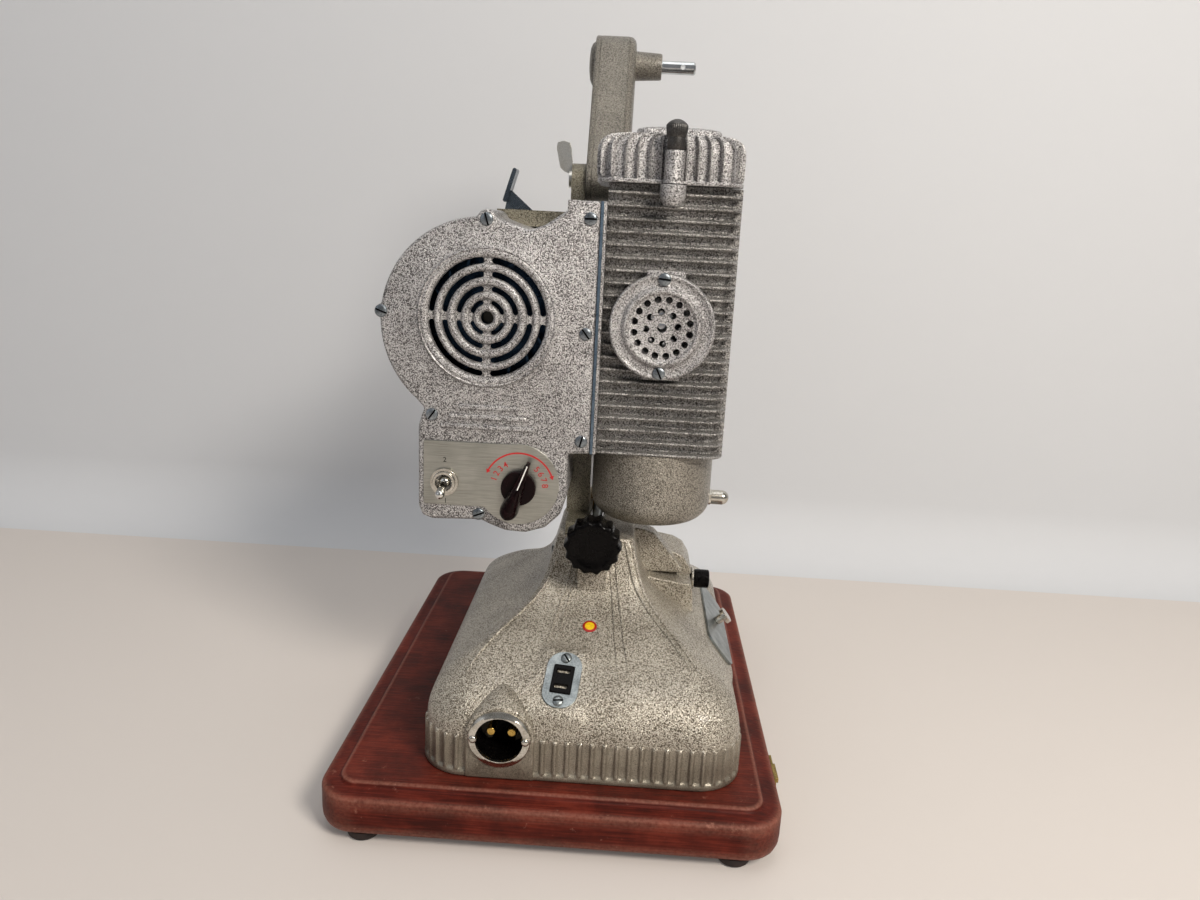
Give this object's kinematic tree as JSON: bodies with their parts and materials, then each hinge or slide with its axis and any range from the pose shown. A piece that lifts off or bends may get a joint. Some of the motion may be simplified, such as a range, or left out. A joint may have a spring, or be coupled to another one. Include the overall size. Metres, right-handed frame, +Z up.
{
  "type": "home movie projector",
  "caption": "Cast home movie projector with finned lamphouse, blower cover, swing gate, tilting head and two folding reel arms, on a covered board with feet",
  "frame": {"origin": "centre of the case board's outline, on the plane that the rubber feet stand on", "axes": "+Z up; +Y along the lens axis to the screen; +X to the film side, where the reel spindles point"},
  "size_m": [0.233, 0.3, 0.416],
  "materials": {
    "enamel": "hammered silver-brown enamel on cast aluminium",
    "leatherette": "maroon pebbled leatherette glued over plywood",
    "black_plastic": "moulded black phenolic",
    "brown_plastic": "moulded dark brown phenolic",
    "black_rubber": "moulded rubber",
    "bright_steel": "nickel and chromium plated steel",
    "zinc_steel": "zinc plated steel",
    "blued_steel": "blued steel screws",
    "satin_plate": "brushed aluminium control plate",
    "grey_cast": "bare die casting and laminated iron",
    "brass": "turned brass",
    "glass": "clear optical glass",
    "mirror": "silvered dish",
    "copper_winding": "varnished winding and laminations",
    "yellow_label": "plain yellow disc with a red rim",
    "ceramic": "glazed ceramic",
    "dark_enamel": "black enamel on the lens and shutter"
  },
  "bodies": {
    "base": {"case_board": "leatherette", "rubber_feet": "black_rubber", "case_catch": "brass", "base_casting": "enamel", "inlet_ring": "bright_steel", "inlet_cup": "black_plastic", "inlet_pins": "brass", "outlet_plate": "zinc_steel", "outlet_socket": "black_plastic", "outlet_screws": "bright_steel", "rating_disc": "yellow_label", "switch_bezel": "satin_plate", "side_plate": "zinc_steel", "tilt_pin": "zinc_steel"},
    "head": {"mechanism_case": "enamel", "mechanism_plate": "blued_steel", "motor_cover": "enamel", "cover_screws": "blued_steel", "control_plate": "satin_plate", "rheostat": "ceramic", "toggle_body": "bright_steel", "motor_field": "grey_cast", "lamphouse": "enamel", "socket_barrel": "enamel", "barrel_nut": "bright_steel", "lamp_socket": "ceramic", "lamp_bulb": "glass", "lamp_base": "brass", "reflector": "mirror", "reflector_cover": "enamel", "condenser_lenses": "glass", "gate_plate": "grey_cast", "drive_belt": "black_rubber", "sprocket_chain": "zinc_steel", "pivot_bolts": "zinc_steel"},
    "tilt_drive": {"tilt_knob": "black_plastic", "tilt_shaft": "zinc_steel"},
    "tilt_slider": {"tilt_nut": "brass"},
    "power_switch": {"switch_knob": "black_plastic"},
    "plate_screw": {"thumb_screw": "bright_steel"},
    "motor": {"armature": "copper_winding", "fan": "satin_plate", "motor_pulley": "zinc_steel"},
    "shutter_shaft": {"main_shaft": "zinc_steel", "shutter": "dark_enamel"},
    "feed_sprocket": {"upper_sprocket": "bright_steel"},
    "hold_sprocket": {"lower_sprocket": "bright_steel"},
    "gate": {"lens_mount": "enamel"},
    "lens": {"lens_barrel": "dark_enamel", "lens_glass": "glass"},
    "speed_control": {"speed_knob": "brown_plastic"},
    "lamp_switch": {"toggle_lever": "bright_steel"},
    "clutch": {"clutch_lever": "zinc_steel"},
    "cap": {"lamphouse_cap": "enamel"},
    "cap_bolt": {"cap_screw": "grey_cast"},
    "feed_arm_body": {"feed_arm": "enamel"},
    "feed_reel_spindle": {"feed_spindle": "bright_steel"},
    "arm_nut": {"wing_nut": "bright_steel"},
    "takeup_arm_body": {"takeup_arm": "enamel"},
    "takeup_reel_spindle": {"takeup_spindle": "bright_steel"}
  },
  "joints": [
    {"name": "head_tilt", "type": "hinge", "parent": "base", "child": "head", "pos_m": [0, -0.034, 0.116], "axis": [1, 0, 0], "range_deg": [0, 10]},
    {"name": "tilt_knob_turn", "type": "hinge", "parent": "base", "child": "tilt_drive", "pos_m": [0.0128, -0.07, 0.134], "axis": [0, 1, 0], "range_deg": [0, 315]},
    {"name": "tilt_nut_slide", "type": "slide", "parent": "base", "child": "tilt_slider", "axis": [0, -1, 0], "range_m": [0, 0.0027]},
    {"name": "power_switch_turn", "type": "hinge", "parent": "base", "child": "power_switch", "pos_m": [0.075, -0.006, 0.093], "axis": [1, 0, 0], "range_deg": [0, 90]},
    {"name": "plate_screw_turn", "type": "hinge", "parent": "base", "child": "plate_screw", "pos_m": [0.08725, -0.013, 0.06775], "axis": [0.7828, 0, 0.6222], "range_deg": [-90, 720]},
    {"name": "motor_spin", "type": "hinge", "parent": "head", "child": "motor", "pos_m": [-0.0475, 0, 0.251], "axis": [0, 1, 0], "continuous": true},
    {"name": "shutter_spin", "type": "hinge", "parent": "head", "child": "shutter_shaft", "pos_m": [0.024, 0.02, 0.228], "axis": [0, 1, 0], "continuous": true},
    {"name": "feed_sprocket_spin", "type": "hinge", "parent": "head", "child": "feed_sprocket", "pos_m": [0.02, 0.031, 0.288], "axis": [1, 0, 0], "continuous": true},
    {"name": "hold_sprocket_spin", "type": "hinge", "parent": "head", "child": "hold_sprocket", "pos_m": [0.02, 0.031, 0.2147], "axis": [1, 0, 0], "continuous": true},
    {"name": "gate_swing", "type": "hinge", "parent": "head", "child": "gate", "pos_m": [0.066, 0.027, 0.251], "axis": [0, 0, -1], "range_deg": [0, 80]},
    {"name": "lens_focus", "type": "slide", "parent": "gate", "child": "lens", "axis": [0, 1, 0], "range_m": [-0.004, 0.012]},
    {"name": "speed_turn", "type": "hinge", "parent": "head", "child": "speed_control", "pos_m": [-0.0285, -0.064, 0.162], "axis": [0, 1, 0], "range_deg": [0, 270]},
    {"name": "lamp_toggle", "type": "hinge", "parent": "head", "child": "lamp_switch", "pos_m": [-0.0685, -0.064, 0.1628], "axis": [-1, 0, 0], "range_deg": [0, 34]},
    {"name": "clutch_press", "type": "hinge", "parent": "head", "child": "clutch", "pos_m": [-0.034, -0.013, 0.3005], "axis": [0, -1, 0], "range_deg": [0, 8]},
    {"name": "cap_lift", "type": "slide", "parent": "head", "child": "cap", "axis": [0, 0, 1], "range_m": [0, 0.045]},
    {"name": "cap_bolt_turn", "type": "hinge", "parent": "cap", "child": "cap_bolt", "pos_m": [0.0434, -0.0644, 0.33], "axis": [0, 0, 1], "range_deg": [0, 1080]},
    {"name": "feed_arm_fold", "type": "hinge", "parent": "head", "child": "feed_arm_body", "pos_m": [0, 0.045, 0.326], "axis": [-1, 0, 0], "range_deg": [0, 85]},
    {"name": "feed_reel_spin", "type": "hinge", "parent": "feed_arm_body", "child": "feed_reel_spindle", "pos_m": [0.04, 0.09, 0.399], "axis": [1, 0, 0], "continuous": true},
    {"name": "arm_nut_turn", "type": "hinge", "parent": "head", "child": "arm_nut", "pos_m": [-0.0135, 0.045, 0.326], "axis": [1, 0, 0], "range_deg": [-180, 360]},
    {"name": "takeup_arm_fold", "type": "hinge", "parent": "head", "child": "takeup_arm_body", "pos_m": [0.015, 0.05, 0.168], "axis": [-1, 0, 0], "range_deg": [0, 35]},
    {"name": "takeup_reel_spin", "type": "hinge", "parent": "takeup_arm_body", "child": "takeup_reel_spindle", "pos_m": [0.04, 0.138, 0.138], "axis": [1, 0, 0], "continuous": true}
  ],
  "couplings": [
    {"joint": "tilt_nut_slide", "follows": "head_tilt", "m_per_rad": 0.0149},
    {"joint": "tilt_knob_turn", "follows": "head_tilt", "ratio": 31.21},
    {"joint": "shutter_spin", "follows": "motor_spin", "ratio": 0.625},
    {"joint": "feed_sprocket_spin", "follows": "motor_spin", "ratio": -0.0521},
    {"joint": "hold_sprocket_spin", "follows": "motor_spin", "ratio": -0.0521},
    {"joint": "takeup_reel_spin", "follows": "motor_spin", "ratio": -0.02}
  ]
}
